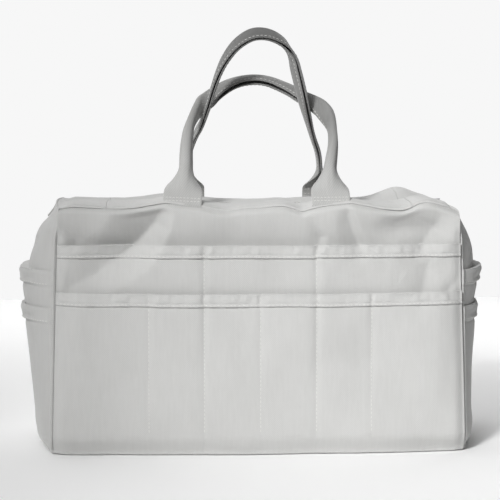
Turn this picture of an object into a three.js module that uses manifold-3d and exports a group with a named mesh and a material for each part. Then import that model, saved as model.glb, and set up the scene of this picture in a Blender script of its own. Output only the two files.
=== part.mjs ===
// Canvas knitting bag: a boxy zip-top bag with two tiers of open pockets on every side
// and two webbing carrying handles. Millimetres, +X right, -Y front, +Z up.
// The origin is on the floor under the middle of the bag.
import * as THREE from 'three';
import Module from 'manifold-3d';

const wasm = await Module();
wasm.setup();

// ---------- driving dimensions ----------
const CANVAS = 1.4; // thickness of the doubled canvas
const GAP = 0.3; // clearance between neighbouring pieces
const BODY_HEIGHT = 244;
const HALF_DEPTH = 90; // outer face of the front and back panels
const HALF_WIDTH_TOP = 197; // seam to centre at the top
const HALF_WIDTH_BOTTOM = 204; // seam to centre at the floor
const PANEL_START = CANVAS + GAP;

const END_FLAT = 50; // half width of the flat middle of a bulging end
const END_SEAM = 88; // where the end meets the front and back seams
// bulge of the end panels: height, distance of the middle from the centre
const END_PROFILE = [
  [0, 208], [6, 214], [12, 219], [25, 226], [190, 226],
  [200, 224], [213, 222], [225, 217], [237, 210], [244, 202],
];

const POCKET_DEPTH = 6; // open depth of every pocket
const POCKET_FOOT = 3; // height of the bottom edge of the pockets
const POCKET_FLOOR = 8; // inside floor of the pockets
const STITCH_RIB = 3; // width of a stitched divider
const UPPER_TOP = 206;
const LOWER_TOP = 160;
const UPPER_DIVIDERS = [-55, 55];
const LOWER_DIVIDERS = [-109, -55, 0, 55, 109];
const END_UPPER_TOP = 182;
const END_LOWER_TOP = 146;

const FLAP_HALF_LENGTH = 150; // moving part of the top, left to right
const FLAP_ROOT = 85.2;
const FLAP_EDGE = 7;
const ZIP_SLOT = 0.9; // half the free way between the two coils
const COIL_WIDTH = 2.5;
const TAPE_REACH = 16;
const ZIP_STUB_END = 173;
const SLIDER_AT = 165;
const SLIDER_LENGTH = 13;
const SLIDER_HALF_WIDTH = 4.6;

const WEBBING = 38; // width of the webbing, flat
const GRIP = 16.5; // width once folded over and sewn
const HANDLE_AT = 74;
const HANDLE_HINGE_Y = 91.6; // just outside the panel, so a loop can hang down beside it
const HANDLE_HINGE_Z = 245.9;
const FRONT_LEAN = 42;
const BACK_LEAN = 25;
// half of each handle line: sideways from the middle, distance from the hinge line
const FRONT_LINE = [
  [74, 0.6], [73.5, 12], [72.5, 26], [71.5, 40], [70.5, 67], [70, 88],
  [67, 105], [60, 122], [47, 140], [28, 154], [0, 164],
];
const BACK_LINE = [
  [73, 0.6], [72.5, 12], [70, 27], [64, 46], [58, 68], [52, 96],
  [45, 122], [38, 147], [29, 168], [17, 183], [0, 189],
];

// ---------- shapes as points and triangles ----------
function makeSolid(points, triangles) {
  let volume = 0;
  for (const [a, b, c] of triangles) {
    const [p, q, r] = [points[a], points[b], points[c]];
    volume += p[0] * (q[1] * r[2] - q[2] * r[1]);
    volume += p[1] * (q[2] * r[0] - q[0] * r[2]);
    volume += p[2] * (q[0] * r[1] - q[1] * r[0]);
  }
  const outward = volume < 0 ? triangles.map(([a, b, c]) => [a, c, b]) : triangles;
  return { points, triangles: outward };
}

// outline in the plane across the axis, drawn out along it
function prism(outline, low, high, axis = 'z') {
  const place = (u, v, w) => (axis === 'z' ? [u, v, w] : [u, w, v]);
  const count = outline.length;
  const points = [];
  for (const level of [low, high]) {
    for (const [u, v] of outline) points.push(place(u, v, level));
  }
  const contour = outline.map(([u, v]) => new THREE.Vector2(u, v));
  const ring = THREE.ShapeUtils.isClockWise(contour) ? -1 : 1;
  const triangles = [];
  for (const [a, b, c] of THREE.ShapeUtils.triangulateShape(contour, [])) {
    triangles.push([a, c, b]);
    triangles.push([a + count, b + count, c + count]);
  }
  for (let i = 0; i < count; i += 1) {
    const j = (i + 1) % count;
    const [a, b] = ring > 0 ? [i, j] : [j, i];
    triangles.push([a, b, b + count], [a, b + count, a + count]);
  }
  return makeSolid(points, triangles);
}

function block(x0, x1, y0, y1, z0, z1) {
  return prism([[x0, y0], [x1, y0], [x1, y1], [x0, y1]], z0, z1);
}

// closed sheet between two surfaces given on the same rows and columns
function sheetBetween(rows, columns, outer, inner) {
  const wide = columns.length;
  const points = [];
  for (const surface of [outer, inner]) {
    for (const row of rows) {
      for (const column of columns) points.push(surface(column, row));
    }
  }
  const back = rows.length * wide;
  const at = (i, j) => i * wide + j;
  const triangles = [];
  const quad = (a, b, c, d) => triangles.push([a, b, c], [a, c, d]);
  for (let i = 0; i + 1 < rows.length; i += 1) {
    for (let j = 0; j + 1 < wide; j += 1) {
      const [a, b, c, d] = [at(i, j), at(i, j + 1), at(i + 1, j + 1), at(i + 1, j)];
      triangles.push([a, b, c], [a, c, d]);
      triangles.push([back + a, back + c, back + b], [back + a, back + d, back + c]);
    }
    const last = wide - 1;
    quad(at(i + 1, 0), back + at(i + 1, 0), back + at(i, 0), at(i, 0));
    quad(at(i, last), back + at(i, last), back + at(i + 1, last), at(i + 1, last));
  }
  const top = rows.length - 1;
  for (let j = 0; j + 1 < wide; j += 1) {
    quad(at(0, j), back + at(0, j), back + at(0, j + 1), at(0, j + 1));
    quad(at(top, j + 1), back + at(top, j + 1), back + at(top, j), at(top, j));
  }
  return makeSolid(points, triangles);
}

// four-cornered sections joined into one closed bar
function barThrough(sections) {
  const points = sections.flat();
  const triangles = [[0, 1, 2], [0, 2, 3]];
  for (let i = 0; i + 1 < sections.length; i += 1) {
    for (let k = 0; k < 4; k += 1) {
      const [a, b] = [i * 4 + k, i * 4 + ((k + 1) % 4)];
      triangles.push([a, b + 4, b], [a, a + 4, b + 4]);
    }
  }
  const end = (sections.length - 1) * 4;
  triangles.push([end, end + 2, end + 1], [end, end + 3, end + 2]);
  return makeSolid(points, triangles);
}

function toManifold(solid) {
  return new wasm.Manifold(new wasm.Mesh({
    numProp: 3,
    vertProperties: new Float32Array(solid.points.flat()),
    triVerts: new Uint32Array(solid.triangles.flat()),
  }));
}

function fromManifold(manifold) {
  const mesh = manifold.getMesh();
  const points = [];
  for (let i = 0; i < mesh.vertProperties.length; i += mesh.numProp) {
    points.push(Array.from(mesh.vertProperties.subarray(i, i + 3)));
  }
  const triangles = [];
  for (let i = 0; i < mesh.triVerts.length; i += 3) {
    triangles.push(Array.from(mesh.triVerts.subarray(i, i + 3)));
  }
  return makeSolid(points, triangles);
}

function join(first, ...others) {
  return fromManifold(others.reduce((sum, one) => sum.add(toManifold(one)), toManifold(first)));
}

function cut(first, ...others) {
  return fromManifold(others.reduce((sum, one) => sum.subtract(toManifold(one)), toManifold(first)));
}

// ---------- form of the bag ----------
function seamAt(z) {
  return HALF_WIDTH_BOTTOM + ((HALF_WIDTH_TOP - HALF_WIDTH_BOTTOM) * z) / BODY_HEIGHT;
}

function bulgeAt(z) {
  for (let i = 1; i < END_PROFILE.length; i += 1) {
    const [z0, x0] = END_PROFILE[i - 1];
    const [z1, x1] = END_PROFILE[i];
    if (z <= z1) return x0 + ((x1 - x0) * (z - z0)) / (z1 - z0);
  }
  return END_PROFILE[END_PROFILE.length - 1][1];
}

function endAt(y, z) {
  const past = Math.max(0, Math.abs(y) - END_FLAT) / (END_SEAM - END_FLAT);
  const share = 1 - Math.min(1, past) ** 2.2;
  return seamAt(z) + (bulgeAt(z) - seamAt(z)) * share;
}

// how far the pocket on an end stands open: full in the middle, shut at its sewn edges
function openShare(y, z) {
  const side = Math.min(1, Math.max(0, (86 - Math.abs(y)) / 32));
  const foot = Math.min(1, Math.max(0, (z - 6) / 10));
  return side * foot;
}

function endPocketOuter(tier, y, z) {
  const first = GAP + CANVAS + (POCKET_DEPTH - GAP) * openShare(y, z);
  return endAt(y, z) + first * tier;
}

const colours = {
  canvas: 0xcfccc6,
  inside: 0xbdb9b2,
  webbing: 0xb4b1ab,
  tape: 0xc4c0b8,
  coil: 0x8f8c86,
  metal: 0x9a9b9d,
  board: 0x8b8377,
};
const bag = new THREE.Group();
bag.name = 'knitting_bag';

function add(name, solid, colour, metalness = 0) {
  const geometry = new THREE.BufferGeometry();
  geometry.setAttribute('position', new THREE.Float32BufferAttribute(solid.points.flat(), 3));
  geometry.setIndex(solid.triangles.flat());
  geometry.computeVertexNormals();
  const material = new THREE.MeshStandardMaterial({
    color: colours[colour],
    roughness: metalness > 0 ? 0.35 : 0.9,
    metalness,
  });
  material.name = `${name}_${colour}`;
  const mesh = new THREE.Mesh(geometry, material);
  mesh.name = name;
  bag.add(mesh);
}

// ---------- bottom ----------
const PLAN_Y = [-88, -80, -70, -60, -50, 50, 60, 70, 80, 88];
const plan = [[-HALF_WIDTH_BOTTOM, -HALF_DEPTH], [HALF_WIDTH_BOTTOM, -HALF_DEPTH]];
for (const y of PLAN_Y) plan.push([endAt(y, 0), y]);
plan.push([HALF_WIDTH_BOTTOM, HALF_DEPTH], [-HALF_WIDTH_BOTTOM, HALF_DEPTH]);
for (const y of [...PLAN_Y].reverse()) plan.push([-endAt(y, 0), y]);
add('bottom_panel', prism(plan, 0, CANVAS), 'canvas');
add('base_board', block(-196, 196, -86, 86, 1.7, 4.2), 'board');

// ---------- front and back: panel and two tiers of pockets ----------
function tapered(z0, z1, inset) {
  return [
    [-(seamAt(z0) - inset), z0], [seamAt(z0) - inset, z0],
    [seamAt(z1) - inset, z1], [-(seamAt(z1) - inset), z1],
  ];
}

function pocketTier(side, near, top, dividers) {
  const far = near + POCKET_DEPTH - GAP + CANVAS;
  const span = (a, b) => [Math.min(side * a, side * b), Math.max(side * a, side * b)];
  const slab = prism(tapered(POCKET_FOOT, top, 0.5), ...span(near, far), 'y');
  const edge = seamAt(top) - 0.5 - STITCH_RIB;
  const stops = [-edge, ...dividers, edge];
  const rooms = [];
  for (let i = 0; i + 1 < stops.length; i += 1) {
    const left = stops[i] + (i === 0 ? 0 : STITCH_RIB / 2);
    const right = stops[i + 1] - (i + 2 === stops.length ? 0 : STITCH_RIB / 2);
    rooms.push(block(left, right, ...span(near - 1, far - CANVAS), POCKET_FLOOR, top + 1));
  }
  return cut(slab, ...rooms);
}

for (const [place, side] of [['front', -1], ['back', 1]]) {
  const faces = [side * HALF_DEPTH, side * (HALF_DEPTH - CANVAS)].sort((a, b) => a - b);
  add(`${place}_panel`, prism(tapered(PANEL_START, BODY_HEIGHT, 0), ...faces, 'y'), 'canvas');
  const upperNear = HALF_DEPTH + GAP;
  const lowerNear = upperNear + POCKET_DEPTH - GAP + CANVAS + GAP;
  add(`${place}_pocket_upper`, pocketTier(side, upperNear, UPPER_TOP, UPPER_DIVIDERS), 'canvas');
  add(`${place}_pocket_lower`, pocketTier(side, lowerNear, LOWER_TOP, LOWER_DIVIDERS), 'canvas');
}

// ---------- ends: bulging panel and two tiers of pockets ----------
const END_Y = [-88, -86, -80, -72, -62, -54, -50, 50, 54, 62, 72, 80, 86, 88];
const END_Z = [1.7, 6, 12, 16, 25, END_LOWER_TOP, END_UPPER_TOP, 190, 200, 213, 225, 237, 243.9];
const POCKET_Y = END_Y.slice(1, -1);
for (const [place, side] of [['left', -1], ['right', 1]]) {
  const panel = (offset) => (y, z) => [side * (endAt(y, z) + offset), y, z];
  const pocket = (tier, offset) => (y, z) => [side * (endPocketOuter(tier, y, z) + offset), y, z];
  const upTo = (top) => END_Z.filter((z) => z >= 6 && z <= top);
  add(`end_panel_${place}`, sheetBetween(END_Z, END_Y, panel(0), panel(-CANVAS)), 'canvas');
  add(
    `end_pocket_upper_${place}`,
    sheetBetween(upTo(END_UPPER_TOP), POCKET_Y, pocket(1, 0), pocket(1, -CANVAS)),
    'canvas',
  );
  add(
    `end_pocket_lower_${place}`,
    sheetBetween(upTo(END_LOWER_TOP), POCKET_Y, pocket(2, 0), pocket(2, -CANVAS)),
    'canvas',
  );
  const tabRows = [225, 237];
  add(`zip_tab_${place}`, sheetBetween(tabRows, [-9, 9], panel(GAP + 1.6), panel(GAP)), 'tape');
}

// ---------- closed top: two flaps, fixed ends, zip ----------
const TOP_UNDER = BODY_HEIGHT - CANVAS;
for (const [place, side] of [['front', -1], ['back', 1]]) {
  const strip = (near, far, z0, z1) => {
    const [y0, y1] = [side * near, side * far].sort((a, b) => a - b);
    return block(-FLAP_HALF_LENGTH, FLAP_HALF_LENGTH, y0, y1, z0, z1);
  };
  add(`top_panel_${place}`, strip(FLAP_EDGE, FLAP_ROOT, TOP_UNDER, BODY_HEIGHT), 'canvas');
  add(`zip_tape_${place}`, strip(ZIP_SLOT, TAPE_REACH, 241.5, 242.3), 'tape');
  add(`zip_coil_${place}`, strip(ZIP_SLOT, ZIP_SLOT + COIL_WIDTH, 242.6, 244), 'coil');
}

for (const [place, side] of [['left', -1], ['right', 1]]) {
  const inner = FLAP_HALF_LENGTH + 0.4;
  const outline = [[inner, -FLAP_ROOT]];
  for (const y of [-FLAP_ROOT, -80, -72, -62, -50, 50, 62, 72, 80, FLAP_ROOT]) {
    outline.push([endAt(y, BODY_HEIGHT) - CANVAS - 0.8, y]);
  }
  outline.push([inner, FLAP_ROOT], [inner, FLAP_EDGE], [178, FLAP_EDGE], [178, -FLAP_EDGE]);
  outline.push([inner, -FLAP_EDGE]);
  const mirrored = outline.map(([x, y]) => [side * x, y]);
  add(`top_end_${place}`, prism(mirrored, TOP_UNDER, BODY_HEIGHT), 'canvas');

  const between = (a, b) => [side * a, side * b].sort((p, q) => p - q);
  const tape = block(...between(inner, 190), -TAPE_REACH, TAPE_REACH, 241.5, 242.3);
  const way = block(...between(inner - 1, ZIP_STUB_END), -ZIP_SLOT, ZIP_SLOT, 241, 243);
  const coils = [-1, 1].map((half) => {
    const edges = [half * ZIP_SLOT, half * (ZIP_SLOT + COIL_WIDTH)].sort((p, q) => p - q);
    return block(...between(inner, ZIP_STUB_END), ...edges, 242, 244);
  });
  add(`zip_end_${place}`, join(cut(tape, way), ...coils), 'tape');
  add(`zip_stop_${place}`, block(...between(173.6, 176.6), -3.4, 3.4, 242.6, 244.4), 'metal', 0.8);
}

const sliderEnds = [SLIDER_AT - SLIDER_LENGTH / 2, SLIDER_AT + SLIDER_LENGTH / 2];
const plate = (z0, z1) => block(...sliderEnds, -SLIDER_HALF_WIDTH, SLIDER_HALF_WIDTH, z0, z1);
const web = block(SLIDER_AT - 2, SLIDER_AT + 4, -0.5, 0.5, 241, 244.5);
const bail = cut(
  block(SLIDER_AT - 5, SLIDER_AT + 5, -0.8, 0.8, 245.1, 248.3),
  block(SLIDER_AT - 2.5, SLIDER_AT + 2.5, -2, 2, 245.8, 247.6),
);
add('zip_slider', join(plate(240.2, 241.2), plate(244.3, 245.3), web, bail), 'metal', 0.85);

const pullFrame = cut(
  block(SLIDER_AT - 0.5, SLIDER_AT + 28, -3, 3, 246.2, 247.2),
  block(SLIDER_AT + 0.5, SLIDER_AT + 8, -1.4, 1.4, 245, 248),
);
add('zip_pull', pullFrame, 'metal', 0.85);

// ---------- handles ----------
for (const [place, side] of [['front', -1], ['back', 1]]) {
  const [y0, y1] = [side * 86.6, side * 88.3].sort((a, b) => a - b);
  for (const [hand, turn] of [['left', -1], ['right', 1]]) {
    const middle = turn * HANDLE_AT;
    const tab = block(middle - WEBBING / 2, middle + WEBBING / 2, y0, y1, 214, 243.7);
    add(`${place}_handle_tab_${hand}`, tab, 'webbing');
  }
}

function handleLoop(side, lean, line) {
  const angle = THREE.MathUtils.degToRad(lean);
  const up = new THREE.Vector3(0, -side * Math.sin(angle), Math.cos(angle));
  const across = new THREE.Vector3(1, 0, 0);
  const normal = new THREE.Vector3().crossVectors(across, up);
  const hinge = new THREE.Vector3(0, side * HANDLE_HINGE_Y, HANDLE_HINGE_Z);
  const whole = [
    ...line.map(([x, s]) => [-x, s]),
    ...line.slice(0, -1).reverse(),
  ];
  const curve = new THREE.CatmullRomCurve3(whole.map(([x, s]) => new THREE.Vector3(x, s, 0)));
  const sections = [];
  for (let i = 0; i < whole.length; i += 1) {
    const t = i / (whole.length - 1);
    const centre = new THREE.Vector3(whole[i][0], whole[i][1], 0);
    const ahead = i === 0 || i === whole.length - 1
      ? new THREE.Vector3(0, i === 0 ? 1 : -1, 0)
      : curve.getTangent(t);
    const sideways = new THREE.Vector3(-ahead.y, ahead.x, 0).normalize();
    const folded = THREE.MathUtils.smoothstep(whole[i][1], 10, 42);
    const half = THREE.MathUtils.lerp(WEBBING, GRIP, folded) / 2;
    const thick = THREE.MathUtils.lerp(2.6, 6, folded) / 2;
    const corners = [[-1, -1], [1, -1], [1, 1], [-1, 1]].map(([a, b]) => {
      const flat = centre.clone().addScaledVector(sideways, a * half);
      const spot = hinge.clone()
        .addScaledVector(across, flat.x)
        .addScaledVector(up, flat.y)
        .addScaledVector(normal, b * thick);
      return [spot.x, spot.y, spot.z];
    });
    sections.push(corners);
  }
  return barThrough(sections);
}

add('front_handle', handleLoop(-1, FRONT_LEAN, FRONT_LINE), 'webbing');
add('back_handle', handleLoop(1, BACK_LEAN, BACK_LINE), 'webbing');

export default bag;
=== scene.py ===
import math

import bmesh
import bpy
import numpy as np
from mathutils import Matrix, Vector


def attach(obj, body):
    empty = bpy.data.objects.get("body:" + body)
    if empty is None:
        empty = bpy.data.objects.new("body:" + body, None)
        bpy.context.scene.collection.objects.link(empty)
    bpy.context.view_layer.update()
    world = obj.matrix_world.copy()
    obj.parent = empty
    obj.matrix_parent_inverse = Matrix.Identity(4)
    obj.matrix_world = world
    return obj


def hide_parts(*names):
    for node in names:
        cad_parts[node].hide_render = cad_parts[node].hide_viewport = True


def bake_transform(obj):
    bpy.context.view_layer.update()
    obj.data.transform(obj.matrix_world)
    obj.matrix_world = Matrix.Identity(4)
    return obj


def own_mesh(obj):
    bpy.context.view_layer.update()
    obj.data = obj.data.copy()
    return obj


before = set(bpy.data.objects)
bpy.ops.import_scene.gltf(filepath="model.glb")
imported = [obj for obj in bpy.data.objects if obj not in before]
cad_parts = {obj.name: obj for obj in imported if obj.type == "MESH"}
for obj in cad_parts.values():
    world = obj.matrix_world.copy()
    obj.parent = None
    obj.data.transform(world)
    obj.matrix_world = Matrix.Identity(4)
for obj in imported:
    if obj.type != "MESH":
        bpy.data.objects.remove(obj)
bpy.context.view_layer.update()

# A canvas bag in millimetres, x across the front, y towards the back, z up. Every layer of cloth
# is a surface given by a function of two coordinates, made into a closed sheet of mesh.
MM = 0.001
CLOTH = 1.4  # thickness of the canvas, mm


# ---------- small number tools ----------
def smooth(value, low, high):
    """Rises from 0 at low to 1 at high."""
    t = np.clip((np.asarray(value, float) - low) / (high - low), 0, 1)
    return t * t * (3 - 2 * t)


def bell(distance, width, power=2):
    """1 at no distance, falling away over the width."""
    return np.exp(-((distance / width) ** power))


def knots(value, pairs):
    """Smooth curve through (position, height) pairs."""
    at = np.array([p[0] for p in pairs], float)
    height = np.array([p[1] for p in pairs], float)
    slope = np.gradient(height, at)
    value = np.clip(np.asarray(value, float), at[0], at[-1])
    i = np.clip(np.searchsorted(at, value) - 1, 0, len(at) - 2)
    span = at[i + 1] - at[i]
    t = (value - at[i]) / span
    h00 = 2 * t**3 - 3 * t**2 + 1
    h10 = t**3 - 2 * t**2 + t
    h01 = -2 * t**3 + 3 * t**2
    h11 = t**3 - t**2
    return h00 * height[i] + h10 * span * slope[i] + h01 * height[i + 1] + h11 * span * slope[i + 1]


def noise(a, b, seed):
    """Smooth value noise from -1 to 1 on a unit lattice."""
    table = np.random.RandomState(seed).uniform(-1, 1, (64, 64))
    a, b = np.broadcast_arrays(np.asarray(a, float) + 500.3, np.asarray(b, float) + 500.7)
    i, j = np.floor(a).astype(int), np.floor(b).astype(int)
    p, q = a - i, b - j
    p = p**3 * (p * (p * 6 - 15) + 10)
    q = q**3 * (q * (q * 6 - 15) + 10)
    low = table[i % 64, j % 64] * (1 - p) + table[(i + 1) % 64, j % 64] * p
    high = table[i % 64, (j + 1) % 64] * (1 - p) + table[(i + 1) % 64, (j + 1) % 64] * p
    return low * (1 - q) + high * q


def rumple(a, b, seed):
    """Layers of noise: broad swells with finer wrinkles on them."""
    broad = noise(a / 70, b / 60, seed)
    middle = noise(a / 31 + 0.3 * b / 60, b / 38, seed + 1)
    fine = noise(a / 13, b / 17, seed + 2)
    return broad + 0.42 * middle + 0.12 * fine


def fold(x, z, line, soft=1.2, walls=False):
    """Valley along a line of (x, z, depth, reach to the left, reach to the right).

    With walls its sides are nearly straight, so each takes one even tone."""
    best = np.full(np.broadcast(x, z).shape, 1e9)
    value = np.zeros_like(best)
    for one, two in zip(line[:-1], line[1:]):
        ax, az = one[0], one[1]
        bx, bz = two[0] - ax, two[1] - az
        length = bx * bx + bz * bz
        t = np.clip(((x - ax) * bx + (z - az) * bz) / length, 0, 1)
        dx, dz = x - ax - t * bx, z - az - t * bz
        away = np.sqrt(dx * dx + dz * dz)
        left = (bx * dz - bz * dx) < 0
        depth, wide_l, wide_r = (one[k] + (two[k] - one[k]) * t for k in (2, 3, 4))
        reach = np.where(left, wide_l, wide_r)
        rounded = np.sqrt(away**2 + soft**2) - soft
        if walls:
            here = -depth * np.clip(1 - rounded / reach, 0, 1) ** 1.35
        else:
            here = -depth * np.exp(-rounded / reach)
        nearer = away < best
        value = np.where(nearer, here, value)
        best = np.where(nearer, away, best)
    return value


def dent(x, z, at, size, depth):
    """Round hollow centred at (x, z)."""
    return -depth * np.exp(-(((x - at[0]) / size[0]) ** 2) - ((z - at[1]) / size[1]) ** 2)


# ---------- mesh tools ----------
def finish_mesh(name, points, faces, material, cloth=None, angle=55):
    """A piece from points in mm; cloth holds each point's place on its own cloth, with painted shade as a
    third value on the webbing.
    """
    mesh = bpy.data.meshes.new(name)
    mesh.from_pydata((np.asarray(points) * MM).tolist(), [], faces)
    mesh.update()
    if cloth is not None:
        attribute = mesh.attributes.new("cloth", "FLOAT_VECTOR", "POINT")
        attribute.data.foreach_set("vector", np.asarray(cloth, np.float32).ravel())
    mesh.shade_smooth()
    mesh.set_sharp_from_angle(angle=math.radians(angle))
    mesh.materials.append(material)
    piece = bpy.data.objects.new(name, mesh)
    bpy.context.scene.collection.objects.link(piece)
    return piece


def turned_out(piece, bevel=0.0):
    """Faces of closed bodies made to point outwards, and edges rounded where bevel is given."""
    mesh = bmesh.new()
    mesh.from_mesh(piece.data)
    bmesh.ops.recalc_face_normals(mesh, faces=mesh.faces)
    if bevel:
        edges = list(mesh.edges)
        bmesh.ops.bevel(mesh, geom=edges, offset=bevel * MM, segments=2, affect="EDGES", profile=0.6)
    mesh.to_mesh(piece.data)
    mesh.free()


def unit(vectors):
    return vectors / np.linalg.norm(vectors, axis=1, keepdims=True)


def normals_of(grid, wrap=False):
    """Outward directions over a grid of points."""
    if wrap:
        across = np.roll(grid, -1, axis=1) - np.roll(grid, 1, axis=1)
    else:
        across = np.gradient(grid, axis=1)
    upward = np.gradient(grid, axis=0)
    n = np.cross(across, upward)
    return n / np.maximum(np.linalg.norm(n, axis=2, keepdims=True), 1e-9)


def cloth_piece(name, grid, u, v, material, thick=CLOTH, wrap=False):
    """Closed sheet: grid is its outer face, and the inner one lies thick behind it."""
    rows, columns = grid.shape[:2]
    thick = np.broadcast_to(np.asarray(thick, float), (rows, columns))
    inner = grid - normals_of(grid, wrap) * thick[..., None]
    points = np.concatenate([grid.reshape(-1, 3), inner.reshape(-1, 3)])
    gaps = columns if wrap else columns - 1
    i, j = np.meshgrid(np.arange(rows - 1), np.arange(gaps), indexing="ij")
    i, j = i.ravel(), j.ravel()
    k = (j + 1) % columns
    a, b, c, d = i * columns + j, i * columns + k, (i + 1) * columns + k, (i + 1) * columns + j
    total = rows * columns
    faces = np.stack([a, b, c, d], 1).tolist()
    faces += np.stack([d + total, c + total, b + total, a + total], 1).tolist()
    j = np.arange(gaps)
    k = (j + 1) % columns
    faces += np.stack([k, j, j + total, k + total], 1).tolist()
    top = (rows - 1) * columns
    faces += np.stack([top + j, top + k, top + k + total, top + j + total], 1).tolist()
    if not wrap:
        i = np.arange(rows - 1)
        a, b = i * columns, (i + 1) * columns
        faces += np.stack([a, b, b + total, a + total], 1).tolist()
        a, b = a + columns - 1, b + columns - 1
        faces += np.stack([b, a, a + total, b + total], 1).tolist()
    u, v = np.broadcast_to(u, (rows, columns)), np.broadcast_to(v, (rows, columns))
    flat = np.stack([u, v, np.zeros_like(u, dtype=float)], 2).reshape(-1, 3)
    return finish_mesh(name, points, faces, material, np.concatenate([flat, flat]))


class Stitches:
    """Many short sewn stitches gathered into one piece."""

    def __init__(self):
        self.points = []
        self.faces = []

    def run(self, line, normal, length=3.1, gap=1.0, width=0.8, height=0.45):
        """Stitches along a line of points, each a low bead pointed at both ends."""
        line, normal = np.asarray(line, float), np.asarray(normal, float)
        step = np.linalg.norm(np.diff(line, axis=0), axis=1)
        along = np.concatenate([[0], np.cumsum(step)])
        pitch = length + gap
        for start in np.arange(gap, along[-1] - length, pitch):
            spots = start + length * np.array([0, 0.18, 0.5, 0.82, 1])
            p = np.stack([np.interp(spots, along, line[:, k]) for k in range(3)], 1)
            n = unit(np.stack([np.interp(spots, along, normal[:, k]) for k in range(3)], 1))
            t = p[-1] - p[0]
            t /= np.linalg.norm(t)
            side = np.cross(t, n)
            base = len(self.points)
            self.points.append(p[0] - n[0] * 0.1)
            self.points.append(p[-1] - n[-1] * 0.1)
            for k in (1, 2, 3):
                lift = height * (1.0 if k == 2 else 0.8)
                self.points.append(p[k] + side[k] * width / 2)
                self.points.append(p[k] + n[k] * lift)
                self.points.append(p[k] - side[k] * width / 2)
                self.points.append(p[k] - n[k] * 0.25)
            for k in range(4):
                m = (k + 1) % 4
                first, middle, last = base + 2, base + 6, base + 10
                self.faces.append([base, first + k, first + m])
                self.faces.append([first + k, middle + k, middle + m, first + m])
                self.faces.append([middle + k, last + k, last + m, middle + m])
                self.faces.append([last + k, base + 1, last + m])

    def on(self, surface, a, b, **shape):
        """A run on surface(a, b) along the given coordinates."""
        a, b = np.broadcast_arrays(np.asarray(a, float), np.asarray(b, float))
        along_a = surface(a + 0.5, b) - surface(a - 0.5, b)
        along_b = surface(a, b + 0.5) - surface(a, b - 0.5)
        self.run(surface(a, b), unit(np.cross(along_a, along_b)), **shape)

    def piece(self, name, material, slot="canvas"):
        return finish_mesh(name, self.points, self.faces, material, angle=80)


# ---------- materials ----------
class Tree:
    """Nodes of a material or of the world, with short ways to add and link them."""

    def __init__(self, owner):
        owner.use_nodes = True
        self.owner = owner
        self.nodes = owner.node_tree.nodes
        self.link = owner.node_tree.links.new

    def add(self, kind, source=None, **inputs):
        """A new node with the given inputs set, and source into its first input."""
        node = self.nodes.new("ShaderNode" + kind)
        for name, value in inputs.items():
            node.inputs[name.replace("_", " ")].default_value = value
        if source is not None:
            self.link(source, node.inputs[0])
        return node

    def fill(self, socket, value):
        """A number, a colour or another node's output into a socket."""
        if isinstance(value, (int, float)):
            socket.default_value = value
        elif isinstance(value, tuple):
            socket.default_value = (*value, 1)
        else:
            self.link(value, socket)

    def sums(self, kind, *values):
        """Result of one sum on numbers and sockets."""
        node = self.add("Math")
        node.operation = kind
        for socket, value in zip(node.inputs, values):
            self.fill(socket, value)
        return node.outputs[0]

    def mixed(self, factor, first, second):
        """Colour between two."""
        mix = self.add("Mix")
        mix.data_type = "RGBA"
        for name, value in (("Factor", factor), ("A", first), ("B", second)):
            self.fill(mix.inputs[name], value)
        return mix.outputs["Result"]

    def look(self, **inputs):
        """Values and sockets into the material's shader."""
        for name, value in inputs.items():
            self.fill(self.nodes["Principled BSDF"].inputs[name.replace("_", " ")], value)

    def relief(self, height, strength, distance):
        """Fine surface bumps from a height."""
        bumps = self.add("Bump", Strength=strength, Distance=distance)
        self.link(height, bumps.inputs["Height"])
        self.look(Normal=bumps.outputs[0])


# near-black colour painted into the webbing where it stands for shade
PAINTED_SHADE_COLOUR = (0.02, 0.02, 0.02)


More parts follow.
